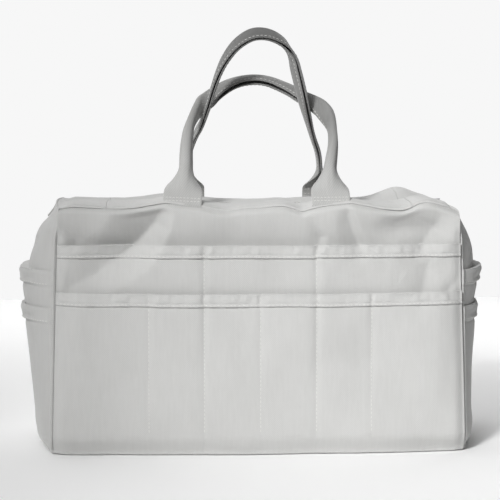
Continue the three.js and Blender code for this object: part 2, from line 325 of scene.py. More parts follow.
def woven(name, light, dark, pitch, twill=False, bump=0.35, mark=0.0, painted_shade=0.0):
    """Cloth: threads over and under on the piece's own cloth coordinates, with mottling.

    pitch is the thread spacing in mm, mark the level above which flecks show, and the last
    argument how strongly painted shade, carried in the third cloth coordinate, darkens it."""
    tree = Tree(bpy.data.materials.new(name))
    tree.look(Roughness=0.9, Sheen_Weight=0.25, Sheen_Roughness=0.5, Specular_IOR_Level=0.25)
    sums = tree.sums

    def wave(value, scale):
        return sums("SINE", sums("MULTIPLY", value, scale))

    where = tree.add("Attribute")
    where.attribute_name = "cloth"
    cloth = where.outputs["Vector"]
    split = tree.add("SeparateXYZ", cloth)
    turn = 2 * math.pi / pitch
    warp, weft = split.outputs["X"], split.outputs["Y"]
    if twill:
        rib = wave(sums("ADD", warp, sums("MULTIPLY", weft, 0.6)), turn * 0.5)
        height = sums("ADD", rib, sums("MULTIPLY", wave(weft, turn), 0.5))
    else:
        a, b = wave(warp, turn / 2), wave(weft, turn / 2)
        over = sums("MULTIPLY", a, b)
        height = sums("ADD", over, sums("MULTIPLY", sums("ABSOLUTE", a), sums("ABSOLUTE", b)))

    stretch = tree.add("Mapping", cloth, Scale=(1.0, 0.12, 1.0))
    slub = tree.add("TexNoise", stretch.outputs[0], Scale=0.35, Detail=5).outputs["Fac"]
    cloud = tree.add("TexNoise", tree.add("TexCoord").outputs["Object"], Scale=14, Detail=3)
    tone = sums("MULTIPLY_ADD", slub, 0.24, 0.25)
    tone = sums("MULTIPLY_ADD", cloud.outputs["Fac"], 0.34, tone)
    ramp = tree.add("ValToRGB", sums("MULTIPLY_ADD", height, 0.10, tone))
    for stop, position, shade in zip(ramp.color_ramp.elements, (0.28, 0.8), (dark, light)):
        stop.position = position
        stop.color = (*shade, 1)
    colour = ramp.outputs[0]
    if mark:
        fleck = tree.add("TexNoise", cloth, Scale=0.16, Detail=1)
        spot = sums("GREATER_THAN", fleck.outputs["Fac"], mark)
        colour = tree.mixed(spot, colour, (dark[0] * 0.62, dark[1] * 0.6, dark[2] * 0.55))
    # painted shade: the third cloth coordinate darkens the colour towards near black
    if painted_shade:
        unshaded = sums("MULTIPLY_ADD", split.outputs["Z"], -painted_shade, 1.0)
        colour = tree.mixed(unshaded, PAINTED_SHADE_COLOUR, colour)
    tree.look(Base_Color=colour)
    tree.relief(sums("MULTIPLY_ADD", slub, 0.2, sums("MULTIPLY", height, 0.25)), bump, 0.0004)
    return tree.owner


def plain(name, colour, roughness, metallic=0.0, grain=60, bump=0.15):
    """Moulded or metal surface with fine wear in its tone and gloss."""
    tree = Tree(bpy.data.materials.new(name))
    grit = tree.add("TexNoise", tree.add("TexCoord").outputs["Object"], Scale=grain, Detail=6).outputs["Fac"]
    ramp = tree.add("ValToRGB", grit)
    for stop, share in zip(ramp.color_ramp.elements, (0.88, 1.12)):
        stop.color = tuple(min(1, c * share) for c in colour) + (1,)
    rough = tree.sums("MULTIPLY_ADD", grit, 0.25, roughness - 0.12)
    tree.look(Metallic=metallic, Roughness=rough, Base_Color=ramp.outputs[0])
    tree.relief(grit, bump, 0.0003)
    return tree.owner


CANVAS = woven("canvas", (0.575, 0.575, 0.565), (0.46, 0.46, 0.45), 1.0, mark=0.86)
INSIDE = woven("canvas_ends", (0.57, 0.57, 0.56), (0.45, 0.45, 0.44), 1.0)
WEBBING = woven("webbing", (0.52, 0.52, 0.51), (0.38, 0.38, 0.372), 1.1, twill=True, bump=0.6, painted_shade=0.62)
TAPE = woven("zip_tape", (0.55, 0.55, 0.535), (0.42, 0.42, 0.41), 0.7, twill=True)
THREAD = plain("thread", (0.62, 0.62, 0.60), 0.7, grain=900, bump=0.4)
COIL = plain("zip_coil", (0.42, 0.42, 0.40), 0.45, grain=200)
METAL = plain("zip_metal", (0.55, 0.55, 0.56), 0.38, metallic=1.0, grain=140)
BOARD = plain("board", (0.30, 0.28, 0.25), 0.75, grain=40, bump=0.3)

# ---------- form of the bag, mm ----------
HALF_WIDTH = 197.0  # sewn side edges of the front and back
HALF_DEPTH = 90.0
HEIGHT = 244.0
PANEL_FOOT, UPPER_FOOT, LOWER_FOOT = 1.8, 1.6, 0.9  # lowest edge of each layer


def seam_at(z):
    """Half width of the bag at its side seams."""
    return 204 - 7 * np.clip(z, 0, 250) / HEIGHT


def arch(x):
    """1 in the middle of the front or back, 0 at its sides."""
    return np.cos(np.clip(x / HALF_WIDTH, -1, 1) * math.pi / 2)


def from_side(x, low, high):
    """Rises from 0 to 1 with the distance from the nearer side seam."""
    return smooth(HALF_WIDTH - np.abs(x), low, high)


# height of the sewn edge along the top of the front, and along the back
FRONT_SEAM = [
    (-197, 243.5), (-180, 244.4), (-160, 243.2), (-125, 243.2), (-107, 246), (-94, 248), (-75, 246),
    (-55, 243.5), (-43, 240.8), (-29, 239.6), (-19, 241.6), (2, 243), (15, 244.4), (25, 244.4),
    (34, 242), (42, 239.6), (48, 241), (58, 243.6), (78, 246.4), (90, 247.3), (102, 245.4),
    (116, 242.6), (130, 240.8), (141, 240.6), (149, 243), (156, 246.4), (167, 247.9), (176, 246),
    (188, 242.6), (197, 239),
]
BACK_SEAM = [
    (-197, 242), (-178, 241.4), (-150, 240.8), (-120, 241.4), (-98, 243.4), (-80, 243.4), (-60, 241.4),
    (-20, 239.8), (30, 239.2), (60, 240.6), (80, 241), (98, 238.8), (112, 238.8), (126, 241), (138, 244.5),
    (150, 247.5), (162, 248), (172, 246), (184, 243), (197, 239.5),
]


def top_edge(x, y):
    """Height of the top, straight from the front seam to the back one."""
    mix = smooth(y, -88, 88)
    return knots(x, FRONT_SEAM) * (1 - mix) + knots(x, BACK_SEAM) * mix


# folds in the front as the handles and the load draw the cloth: softness, nearly straight sides or
# not, and the line along the bottom of the valley
FRONT_FOLDS = [
    (1.8, True, [
        (-94, 248, 0.6, 26, 10), (-97, 240, 6.0, 34, 13), (-103, 229, 12.0, 38, 17),
        (-111, 219.5, 15.0, 38, 21), (-120, 209.5, 15.0, 36, 24), (-130, 201, 12.0, 34, 26),
        (-147, 191, 8.0, 30, 26), (-163, 178, 6.0, 26, 24), (-200, 158, 3.0, 18, 20)]),
    (1.2, True, [(83, 250, 1.5, 12, 5), (89, 230, 5.2, 15, 7), (98, 206, 4.6, 18, 9), (103, 190, 0, 16, 9)]),
    (1.2, True, [(50, 234, 0, 8, 5), (60, 214, 2.6, 14, 6), (57, 200, 0.6, 10, 6)]),
    (1.2, True, [
        (181, 240, 0, 30, 12), (172, 224, 6.0, 52, 17), (160, 205, 6.0, 50, 18), (150, 190, 1, 40, 18)]),
    (1.2, True, [(172, 200, 1, 34, 26), (164, 182, 7.0, 36, 30), (158, 150, 3, 30, 30)]),
    (1.2, False, [(199, 176, 4.4, 5, 9), (186, 164, 3.0, 5, 8), (178, 157, 0, 4, 6)]),
    (1.2, False, [(-198, 228, 3.6, 9, 10), (-178, 215, 2.2, 9, 12), (-160, 208, 0, 9, 12)]),
]


def front_folds(x, z):
    """Outward shift of the front by its folds."""
    value = dent(x, z, (142, 223), (30, 11), 5.5)
    for soft, walls, line in FRONT_FOLDS:
        value = value + fold(x, z, line, soft, walls)
    return value


def back_folds(x, z):
    """Folds in the back, seen along its own width from left to right."""
    line = [(88, 250, 2, 18, 12), (112, 226, 5.5, 28, 18), (140, 203, 5, 28, 18), (185, 168, 2, 18, 14)]
    value = fold(x, z, line, soft=2.0)
    value = value + fold(x, z, [(-84, 250, 1.5, 7, 9), (-94, 226, 3.4, 8, 12), (-104, 196, 0.5, 8, 12)])
    value = value + dent(x, z, (-150, 220), (30, 14), 5.0)
    return value + dent(x, z, (20, 224), (40, 12), 2.2)


UPPER_TOP, LOWER_TOP = 207.4, 160.0  # mouths of the two tiers of pockets
HEM = 12.6
UPPER_SEAMS = (-55.0, 55.0)
LOWER_SEAMS = (-109.0, -55.0, 0.0, 55.0, 109.0)
SPREAD = 6.5  # how much further the foot of the front and back stands out than their top
GROOVE = 3.0  # how far the side seams are drawn in below the top corners


def spread(z):
    return SPREAD * (1 - smooth(z, 20, 215))


def groove(z):
    return GROOVE * (1 - smooth(z, 212, 228))


def foot_turn(z, low, high):
    """Share of the turn inwards at the foot of a layer."""
    return (1 - smooth(z, low, high)) ** 1.5


def seam_spread(z):
    """How far the front and back stand out where they are sewn to the ends."""
    return spread(z) - groove(z) - 8.0 * foot_turn(z, 1, 20)


class Face:
    """The front or the back: its panel and two tiers of pockets over it."""

    def __init__(self, side, top, folds, seed):
        self.side = side
        self.top = top
        self.folds = folds
        self.seed = seed

    def place(self, x, z, out):
        """x runs left to right seen from outside this face."""
        share = np.clip(np.abs(x) / HALF_WIDTH, 0, 1) ** 6
        across = x + np.sign(x) * (seam_at(z) - HALF_WIDTH) * share
        return np.stack([across * -self.side, self.side * (HALF_DEPTH + out), z + 0 * x], -1)

    def shape(self, x, z):
        """Outward shift shared by all layers."""
        edge = HALF_WIDTH - np.abs(x)
        out = self.folds(x, z) * from_side(x, -4, 14)
        out = out + 1.6 * rumple(x, z, self.seed) * from_side(x, 0, 30)
        belly = 1.5 * arch(x) * smooth(z, 10, 90)
        low_belly = 3.0 * arch(x) * (1 - smooth(z, 10, 110))
        out = out + belly + spread(z) + low_belly
        return out - groove(z) * bell(edge, 5.0)

    def panel(self, x, share):
        """share runs from 0 at the floor to 1 at the sewn top edge."""
        high = self.top(x)
        z = PANEL_FOOT + share * (high - PANEL_FOOT)
        out = self.shape(x, z) - 5.0 * bell(high - z, 2.6)
        out = out - 4.8 * (1 - smooth(z, 205, 241)) * from_side(x, 0, 22)
        out = out - 0.85 * self.folds(x, z) * (1 - smooth(high - z, 0, 11)) * from_side(x, 0, 12)
        return self.place(x, z, out - 8.5 * foot_turn(z, 0, 20))

    def open_share(self, x, z, seams, top):
        """How far a tier stands off what is behind it: 0 where it is sewn down."""
        edge = from_side(x, 0, 26)
        for seam in seams:
            edge = edge * (1 - 0.30 * bell(np.abs(x - seam), 3.4, 1.6))
        return edge * (0.25 + 0.75 * smooth(z, 20, top))

    def hem_relief(self, x, z, top, seed):
        """The turned hem: thicker, with a puckered lower edge where it is sewn."""
        down = top - z
        band = 1 - smooth(down, HEM - 0.35, HEM + 0.35)
        pucker = noise(x / 6.5, 3.3, seed) + 0.6 * noise(x / 2.9, 7.1, seed + 1)
        lower_lip = bell(down - HEM + 0.9, 0.9)
        sewn = bell(down - HEM + 3.0, 1.3)
        lip = bell(down, 1.4)
        ridge = bell(down - HEM * 0.42, 3.4)
        out = band * (1.7 + 0.25 * pucker * (1 - lip)) - 0.45 * sewn * (1 + 0.5 * pucker)
        return out + 0.45 * lower_lip + 0.4 * ridge * pucker + 0.35 * lip

    def behind(self, x, z):
        """Shift of the upper tier apart from its hem."""
        sewn = 0.4 * bell(HALF_WIDTH - np.abs(x), 6)
        return 1.9 - sewn + 3.3 * self.open_share(x, z, UPPER_SEAMS, 205) + self.shape(x, z)

    def upper(self, x, z):
        out = self.behind(x, z) + self.hem_relief(x, z, self.upper_top(x), self.seed + 20)
        out = out + 0.5 * noise(x / 24, z / 30, self.seed + 9) * from_side(x, 0, 20)
        return self.place(x, z, out - 8.0 * foot_turn(z, 1.5, 20))

    def lower(self, x, z):
        """Bridges the hollows of the tier behind it, more and more towards the floor."""
        hollow = self.folds(x, z)
        bridged = 0.5 * (np.sqrt(hollow**2 + 1) - hollow) - 0.5
        out = self.behind(x, z) + bridged * 0.7 * (1 - smooth(z, 100, 160))
        sewn = 1.1 * bell(HALF_WIDTH - np.abs(x), 6)
        out = out + 2.6 + 3.0 * self.open_share(x, z, LOWER_SEAMS, 158) - sewn
        out = out + self.hem_relief(x, z, self.lower_top(x), self.seed + 40)
        out = out + 0.5 * noise(x / 27, z / 45, self.seed + 12) * from_side(x, 0, 20)
        return self.place(x, z, out - (11.0 - 4.0 * arch(x)) * foot_turn(z, 0.2, 24))

    def upper_top(self, x):
        step = 0.9 * smooth(x, 54.4, 55.6) - 0.3 * smooth(x, -55.6, -54.4)
        return UPPER_TOP + step + 0.5 * noise(x / 45, 1.5, self.seed + 3) - 0.4

    def lower_top(self, x):
        return LOWER_TOP + 1.6 - 1.6 * arch(x) + 0.45 * noise(x / 38, 8.5, self.seed + 5)


front = Face(-1, lambda x: knots(x, FRONT_SEAM), front_folds, 11)
back = Face(1, lambda x: knots(-x, BACK_SEAM), back_folds, 71)


def columns_x(seams):
    """Columns across a face, closer at its edges and around the sewn dividers."""
    x = list(np.arange(-HALF_WIDTH, HALF_WIDTH + 0.01, 2.0))
    for seam in seams:
        x += [seam + d for d in (-4, -2.6, -1.6, -0.8, 0, 0.8, 1.6, 2.6, 4)]
    x += [s * (HALF_WIDTH - d) for s in (-1, 1) for d in (0.6, 1.2, 2.4, 3.4, 4.6)]
    x = np.unique(np.round(x, 2))
    keep = [x[0]]
    for value in x[1:]:
        if value - keep[-1] > 0.35:
            keep.append(value)
    keep[-1] = HALF_WIDTH
    return np.array(keep)


def rows_z(top, foot, detail):
    """Rows up a pocket tier as distances below its hem: fine in the hem, fine at the foot."""
    hem = np.arange(0, detail, 0.62)
    body = np.arange(detail, top - foot - 22, 2.6)
    turn = np.linspace(top - foot - 22, top - foot, 14)
    return np.concatenate([hem, body, turn])[::-1]


def tier(name, surface, top_of, seams, foot, top, node):
    """One sheet of pockets with its hem stitching and dividers."""
    x = columns_x(seams)
    detail = HEM + 3
    down = rows_z(top, foot, detail)[:, None]
    high = top_of(x)[None, :]
    reach = (high - foot) / (top - foot)
    z = high - down * np.where(down < detail, 1.0, 1.0 + (reach - 1.0) * smooth(down, detail, top - foot))
    grid = surface(np.broadcast_to(x, z.shape), z)
    thick = CLOTH + 0.9 * (1 - smooth(high - z, HEM - 0.7, HEM + 0.5))
    piece = cloth_piece(name, grid, x[None, :], z, CANVAS, thick=thick)
    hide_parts(node)
    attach(piece, "bag")
    sewn = Stitches()
    line = np.arange(-194, 194.01, 1.0)
    sewn.on(surface, line, top_of(line) - HEM + 1.7)
    for seam in seams:
        rise = np.arange(foot + 22, float(top_of(np.array([seam]))[0]) - 1.2, 1.0)
        sewn.on(surface, np.full_like(rise, seam), rise, height=0.3)
    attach(sewn.piece(name + "_stitching", THREAD), "bag")


def shares(*bands):
    """Rising shares from 0 to 1 in bands of (end of the band, count)."""
    start, parts = 0.0, []
    for end, count in bands:
        parts.append(np.linspace(start, end, count)[1 if parts else 0:])
        start = end
    return np.concatenate(parts)


def face_pieces(face, word):
    x = columns_x(())
    share = shares((0.1, 12), (0.8, 40), (1, 40))[:, None]
    grid = face.panel(np.broadcast_to(x, (len(share), len(x))), share)
    piece = cloth_piece(f"{word}_panel_cloth", grid, x[None, :], share * HEIGHT, CANVAS)
    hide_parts(f"{word}_panel")
    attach(piece, "bag")
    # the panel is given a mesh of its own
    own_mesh(piece)
    name = f"{word}_pocket_"
    tier(name + "upper_cloth", face.upper, face.upper_top, UPPER_SEAMS, UPPER_FOOT, UPPER_TOP, name + "upper")
    tier(name + "lower_cloth", face.lower, face.lower_top, LOWER_SEAMS, LOWER_FOOT, LOWER_TOP, name + "lower")


face_pieces(front, "front")
face_pieces(back, "back")

# ---------- ends ----------
END_BODY = {
    -1: [(0, 208), (8, 214), (20, 217), (60, 220), (110, 222.5), (150, 226), (174, 230.5), (184, 231.5),
         (192, 230), (203, 226.5), (214, 223.5), (223, 219), (231, 211.5), (239, 205.5), (246, 202)],
    1: [(0, 204), (8, 211), (20, 214.5), (60, 215.5), (110, 216.5), (150, 218), (190, 222.5), (203, 221),
        (214, 217.3), (223, 212), (231, 206.5), (239, 202), (246, 199.5)],
}
END_UPPER = {
    -1: [(1, 211.5), (10, 220), (40, 224), (73, 226.5), (109, 229.5), (137, 233.5), (151, 237.5),
         (166, 239.5), (182, 241.5)],
    1: [(1, 206), (10, 214), (40, 217.8), (73, 218.6), (109, 220.3), (151, 224.8),
        (166, 228.5), (182, 232.5)],
}
END_LOWER = {
    -1: [(0.5, 214.5), (8, 223), (19, 226.4), (37, 227.8), (73, 230.5), (109, 234), (129, 236.5), (145, 240)],
    1: [(0.5, 210.5), (8, 219), (19, 222.6), (37, 221.8), (73, 222.2), (109, 223.9), (129, 224.8),
        (145, 227.2)],
}
END_UPPER_TOP, END_LOWER_TOP, END_HEM = 181.5, 144.5, 15.0
END_HALF, END_SEAM = 88.0, 88.4  # half width of an end's cloth, and of its seams
CROWN = {-1: 6.0, 1: 2.2}  # how far the top of each end is drawn up in its middle
POCKET_BULGE = 2.7


def bulge(w, power):
    """Rounded plan of an end: 1 in its middle, 0 at its seams."""
    return (1 - np.clip(np.abs(w) / END_SEAM, 0, 1) ** power) ** 0.85


class End:
    """A bulging end of the bag with two tiers of pockets; its width runs along y."""

    def __init__(self, side, seed):
        self.side = side
        self.seed = seed

    def place(self, w, z, reach, power=3.0):
        """w runs from -88 to 88, left to right seen from outside this end."""
        low = 1 - smooth(z, 212, 226)
        seam = seam_at(z)
        edge = END_SEAM - np.abs(w)
        crevice = bell(edge, 0.8)
        x = seam + (reach - seam) * bulge(w, power)
        x = x - 0.5 * (1 - low) + low * (0.7 * bell(edge - 1.9, 1.3) - 3.4 * crevice)
        lip = low * (1.9 * bell(edge - 1.9, 1.5) - 4.5 * crevice)
        lip = lip + seam_spread(z) * smooth(np.abs(w), 40, 88)
        return np.stack([self.side * x, self.side * (w + np.sign(w) * lip), z + 0 * w], -1)

    def sway(self, w, z):
        return 1.2 * rumple(w, z, self.seed) * smooth(END_HALF - np.abs(w), 0, 26)

    def top(self, w):
        return top_edge(self.side * HALF_WIDTH, self.side * w) + CROWN[self.side] * (1 - (w / END_HALF) ** 2)

    def panel(self, w, share):
        z = PANEL_FOOT + share * (self.top(w) - PANEL_FOOT)
        reach = knots(z, END_BODY[self.side]) + self.sway(w, z)
        reach = reach + fold(w, z, [(-88, 232, 2.4, 10, 10), (-50, 214, 1.4, 10, 12), (-10, 206, 0, 9, 9)])
        reach = reach + fold(w, z, [(88, 236, 2.0, 10, 10), (46, 210, 1.6, 12, 9), (10, 200, 0, 9, 9)])
        return self.place(w, z, reach)

    def hem_relief(self, w, z, top, seed):
        """A soft rolled hem, dimpled where it is gathered, with a crisp lip under it."""
        down = top - z
        band = 1 - smooth(down, END_HEM - 0.5, END_HEM + 0.4)
        pucker = noise(w / 11, 3.3, seed) + 0.5 * noise(w / 5, 7.1, seed + 1)
        lower_lip = bell(down - END_HEM + 1.2, 1.2)
        dimple = bell(down - END_HEM * 0.62, 2.6) * (0.6 + 0.8 * np.clip(pucker, -1, 1))
        under = bell(down - END_HEM - 1.6, 1.8)
        return band * 1.6 + 0.6 * lower_lip - 1.5 * dimple - 1.2 * under - 1.8 * bell(down, 2.2)

    def pleats(self, w, z, top):
        value = 0.0
        for middle, deep, wide in ((0, 2.6, 3.6), (-57, 2.0, 4.0), (61, 1.6, 4.5)):
            value = value - deep * bell(np.abs(w - middle), wide, 1.5)
        return value * (0.35 + 0.65 * smooth(z, 30, top))

    def pocket(self, w, z, profile, top, top_of, seed):
        reach = knots(z, profile[self.side]) + self.sway(w, z) * 0.7
        reach = reach + self.pleats(w, z, top) * 0.6
        reach = reach + self.hem_relief(w, z, top_of(w), seed)
        return self.place(w, z, reach, POCKET_BULGE)

    def upper(self, w, z):
        return self.pocket(w, z, END_UPPER, END_UPPER_TOP, self.upper_top, self.seed + 20)

    def lower(self, w, z):
        grid = self.pocket(w, z, END_LOWER, END_LOWER_TOP, self.lower_top, self.seed + 40)
        return grid + np.array([self.side * 0.5, 0, 0])

    def upper_top(self, w):
        return END_UPPER_TOP + 0.8 * noise(w / 30, 1.5, self.seed + 3)

    def lower_top(self, w):
        return END_LOWER_TOP + 0.8 * noise(w / 30, 6.5, self.seed + 5)


ENDS = {-1: End(-1, 131), 1: End(1, 171)}
WORD = {-1: "left", 1: "right"}

# columns across an end, closer and closer towards its seams
edge = [*np.linspace(60, 83.5, 17), 84.3, 85, 85.6, 86.1, 86.5, 86.9, 87.2, 87.5, 87.8, 88]
COLUMNS_W = np.concatenate([-np.array(edge)[::-1], np.linspace(-60, 60, 70)[1:-1], edge])


def end_tier(name, surface, top_of, foot, top, node, roll):
    """One sheet of pockets on an end; roll is the thickness of its hem in the middle."""
    w = COLUMNS_W
    detail = END_HEM + 3
    down = rows_z(top, foot, detail)[:, None]
    high = top_of(w)[None, :]
    z = high - down + (top - high) * smooth(down, detail, top - foot)
    grid = surface(np.broadcast_to(w, z.shape), z)
    swell = bulge(w, POCKET_BULGE) * roll
    thick = CLOTH + 0.9 + (swell[None, :] - 0.9) * (1 - smooth(high - z, 5, END_HEM))
    below = CLOTH + 0.9 * (1 - smooth(high - z, END_HEM, END_HEM + 0.6))
    thick = np.where(high - z > END_HEM, below, thick)
    piece = cloth_piece(name, grid, w[None, :], z, INSIDE, thick=np.maximum(thick, CLOTH))
    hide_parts(node)
    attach(piece, "bag")
    sewn = Stitches()
    line = np.arange(-84, 84.01, 1.0)
    sewn.on(surface, line, top_of(line) - END_HEM + 1.9)
    rise = np.arange(foot + 22, top - 1.5, 1.0)
    sewn.on(surface, np.zeros_like(rise), rise, height=0.3)
    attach(sewn.piece(name + "_stitching", THREAD), "bag")


for side, end in ENDS.items():
    word = WORD[side]
    share = shares((0.1, 12), (0.7, 30), (1, 36))[:, None]
    grid = end.panel(np.broadcast_to(COLUMNS_W, (len(share), len(COLUMNS_W))), share)
    piece = cloth_piece(f"end_panel_{word}_cloth", grid, COLUMNS_W[None, :], share * HEIGHT, INSIDE)
    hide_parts(f"end_panel_{word}")
    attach(piece, "bag")
    for tier_word, surface, top_of, foot, top, roll in (
        ("upper", end.upper, end.upper_top, UPPER_FOOT, END_UPPER_TOP, 10.0),
        ("lower", end.lower, end.lower_top, LOWER_FOOT, END_LOWER_TOP, 2.4),
    ):
        node = f"end_pocket_{tier_word}_{word}"
        end_tier(node + "_cloth", surface, top_of, foot, top, node, roll)

# ---------- top ----------
TOP_EDGE = 86.2  # the folding halves reach this far from the middle
ZIP_HALF = 3.6  # where the folded edges beside the zip stop
ZIP_REACH = 150.0  # half length of the part of the zip that opens
SLOT_FLOOR = 236.5  # the cloth is turned down beside the fixed ends of the zip


def top_end_x(side, y):
    """Where the top meets the end panel."""
    return np.abs(ENDS[side].panel(side * y, np.ones_like(y))[..., 0]) - 1.6


def top_height(x, y):
    """Height of the top cloth: sewn low at its edges, full between, low again at the zip."""
    zip_share = 0.75 * bell(y, 26)
    base = top_edge(x, y) * (1 - zip_share) + 244.6 * zip_share
    edge = 87.0 - np.abs(y)
    swell = 5.2 * (1 - np.exp(-np.maximum(edge, 0) / 5.5)) * smooth(np.abs(y), 2, 34)
    wave = 1.3 * rumple(x, y, 211) * smooth(edge, 0, 20) * smooth(np.abs(y), 4, 24)
    z = base + (swell + wave) * smooth(203 - np.abs(x), 0, 16) - 0.8 * bell(edge, 2.0)
    z = z + 2.6 * bell(x - 157, 16) * smooth(y, 10, 60) * smooth(edge, 0, 14)
    for side, end in ENDS.items():
        rim = smooth(top_end_x(side, y) - side * x, 0, 12)
        z = np.where(side * x > 0, z * rim + (end.top(side * y) - 0.4) * (1 - rim), z)
    slot = smooth(4.1 - np.abs(y), 0, 0.5) * smooth(179.5 - np.abs(x), 0, 2.0) * (np.abs(x) > 150.2)
    return z - (z - SLOT_FLOOR) * slot


def on_top(x, y):
    return np.stack([x, y, top_height(x, y)], -1)


def top_strip(name, low_x, high_x, low_y, high_y, node, body):
    """One piece of the top between x limits, which may be functions of y."""
    seam_rows = np.array([0.4, 0.9, 1.5, 2.4])
    slot_rows = np.array([3.1, 3.6, 4.1, 4.8])
    rows = np.unique(np.concatenate([
        np.linspace(low_y, high_y, 46), low_y + seam_rows, high_y - seam_rows, -slot_rows, slot_rows,
    ]))
    rows = rows[(rows >= low_y) & (rows <= high_y)]
    a = low_x(rows) if callable(low_x) else np.full_like(rows, low_x)
    b = high_x(rows) if callable(high_x) else np.full_like(rows, high_x)
    t = np.linspace(0, 1, max(8, int(np.max(b - a) / 2.2)))
    x = a[:, None] + (b - a)[:, None] * t[None, :]
    y = np.broadcast_to(rows[:, None], x.shape)
    grid = on_top(x, y)
    grid[..., 1] += np.sign(y) * 1.8 * bell(84.0 - np.abs(y), 2.2)
    piece = cloth_piece(name, grid, x, y, CANVAS)
    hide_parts(node)
    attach(piece, body)
    return piece


# each opening half of the top, given a mesh of its own
for side, word in ((-1, "front"), (1, "back")):
    low, high = sorted((side * ZIP_HALF, side * TOP_EDGE))
    name = f"top_{word}"
    piece = top_strip(name + "_cloth", -ZIP_REACH, ZIP_REACH, low, high, f"top_panel_{word}", name)
    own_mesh(piece)
for word, low, high in (
    ("left", lambda y: -top_end_x(-1, y), -150.35), ("right", 150.35, lambda y: top_end_x(1, y))
):
    top_strip(f"top_end_{word}_cloth", low, high, -TOP_EDGE, TOP_EDGE, f"top_end_{word}", "bag")
for side, word in ((-1, "front"), (1, "back")):
    sewn = Stitches()
    line = np.arange(-148, 148.01, 1.0)
    sewn.on(on_top, line, np.full_like(line, side * (ZIP_HALF + 3.0)))
    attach(sewn.piece(f"top_{word}_stitching", THREAD), f"top_{word}")

# ---------- bottom ----------
# closed line round the foot of the walls, counter-clockwise from above
x, w = np.linspace(-HALF_WIDTH, HALF_WIDTH, 90), np.linspace(-84, 84, 50)
walls = ((front, x), (ENDS[1], w), (back, x), (ENDS[-1], w))
outline = np.concatenate([wall.lower(line, np.full_like(line, LOWER_FOOT)) for wall, line in walls])[:, :2]
# rings from the outline inwards, the outermost raised to meet the walls
steps = np.array([1.004, 0.992, 0.975, 0.94, 0.8, 0.6, 0.4, 0.2, 0.02])[:, None]
level = np.array([1.5, 0.25, 0.0, 0.0, 0.0, 0.0, 0.0, 0.0, 0.0])
ring = np.stack([np.insert(outline * s, 2, h, axis=1) for s, h in zip(steps, level)])[:, ::-1]
piece = cloth_piece("bottom_cloth", ring, ring[..., 0], ring[..., 1], CANVAS, wrap=True)
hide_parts("bottom_panel")
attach(piece, "bag")

# ---------- zip ----------
TAPE_Z = 242.0
TAPE_NEAR, TAPE_FAR = 2.2, 15  # edges of the tape, from the middle of the zip
END_START = 150.4  # where the fixed ends of the zip begin


def tape(name, x0, x1, y0, y1, node, body):
    x = np.linspace(x0, x1, max(6, int((x1 - x0) / 4)))
    x, y = np.meshgrid(x, np.linspace(y0, y1, 8))
    grid = np.stack([x, y, TAPE_Z + 0.25 * noise(x / 30, y / 20, 301)], -1)
    piece = cloth_piece(name, grid, x, y, TAPE, thick=0.7)
    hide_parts(node)
    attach(piece, body)


QUADS = ((0, 3, 2, 1), (4, 5, 6, 7), (0, 1, 5, 4), (1, 2, 6, 5), (2, 3, 7, 6), (3, 0, 4, 7))


def teeth(name, x0, x1, side, node, body, offset=0.0):
    """Moulded coil turns along one tape, narrowing to the closing edge."""
    points, faces = [], []
    for x in np.arange(x0 + 0.9 + offset, x1 - 0.6, 1.8):
        for z in (242.3, 243.9):
            near = [(x - 0.42, side * 0.25, z), (x + 0.42, side * 0.25, z)]
            far = [(x + 0.66, side * 3.3, z), (x - 0.66, side * 3.3, z)]
            points += (near + far) if side > 0 else (near[::-1] + far[::-1])
        faces += [[len(points) - 8 + k for k in quad] for quad in QUADS]
    piece = finish_mesh(name, points, faces, COIL, angle=40)
    turned_out(piece)
    if node:
        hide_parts(node)
    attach(piece, body)


def solid(name, outline, z0, z1, bevel):
    """Metal plate of the given outline with rounded edges."""
    count = len(outline)
    points = [(x, y, z) for z in (z0, z1) for x, y in outline]
    faces = [list(range(count))[::-1], list(range(count, 2 * count))]
    for k in range(count):
        m = (k + 1) % count
        faces.append([k, m, m + count, k + count])
    piece = finish_mesh(name, points, faces, METAL)
    turned_out(piece, bevel)
    return piece


def joined(name, shapes):
    """Several closed solids as one object."""
    pieces = [solid(name if k == 0 else f"{name}_{k}", *shape) for k, shape in enumerate(shapes)]
    for one in bpy.context.selected_objects:
        one.select_set(False)
    for one in pieces:
        one.select_set(True)
    bpy.context.view_layer.objects.active = pieces[0]
    bpy.ops.object.join()
    return pieces[0]


def oval(x0, x1, half):
    """Outline rounded at both ends."""
    turn = np.linspace(-math.pi / 2, math.pi / 2, 7)
    reach = min(half, (x1 - x0) / 2)
    right = [(x1 - reach + reach * math.cos(a), half * math.sin(a)) for a in turn]
    left = [(x0 + reach - reach * math.cos(a), -half * math.sin(a)) for a in turn]
    return right + left


def oblong(x0, x1, y0, y1):
    return [(x0, y0), (x1, y0), (x1, y1), (x0, y1)]


for side, word in ((-1, "front"), (1, "back")):
    body = f"top_{word}"
    y0, y1 = sorted((side * TAPE_NEAR, side * TAPE_FAR))
    tape(f"zip_tape_{word}_cloth", -ZIP_REACH, ZIP_REACH, y0, y1, f"zip_tape_{word}", body)
    teeth(f"zip_teeth_{word}", -ZIP_REACH, ZIP_REACH, side, f"zip_coil_{word}", body, 0.9 * (side > 0))
for side, word in WORD.items():
    x0, x1 = sorted((side * END_START, side * 190))
    tape(f"zip_end_{word}_cloth", x0, x1, -TAPE_FAR, TAPE_FAR, f"zip_end_{word}", "bag")
    x0, x1 = sorted((side * END_START, side * 173))
    teeth(f"zip_end_teeth_{word}_front", x0, x1, -1, None, "bag")
    teeth(f"zip_end_teeth_{word}_back", x0, x1, 1, None, "bag", 0.9)
    x0, x1 = sorted((side * 173.6, side * 176.6))
    stop = solid(f"zip_stop_{word}_clip", oval(x0, x1, 3.4), 242.5, 244.5, 0.35)
    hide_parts(f"zip_stop_{word}")
    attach(stop, "bag")

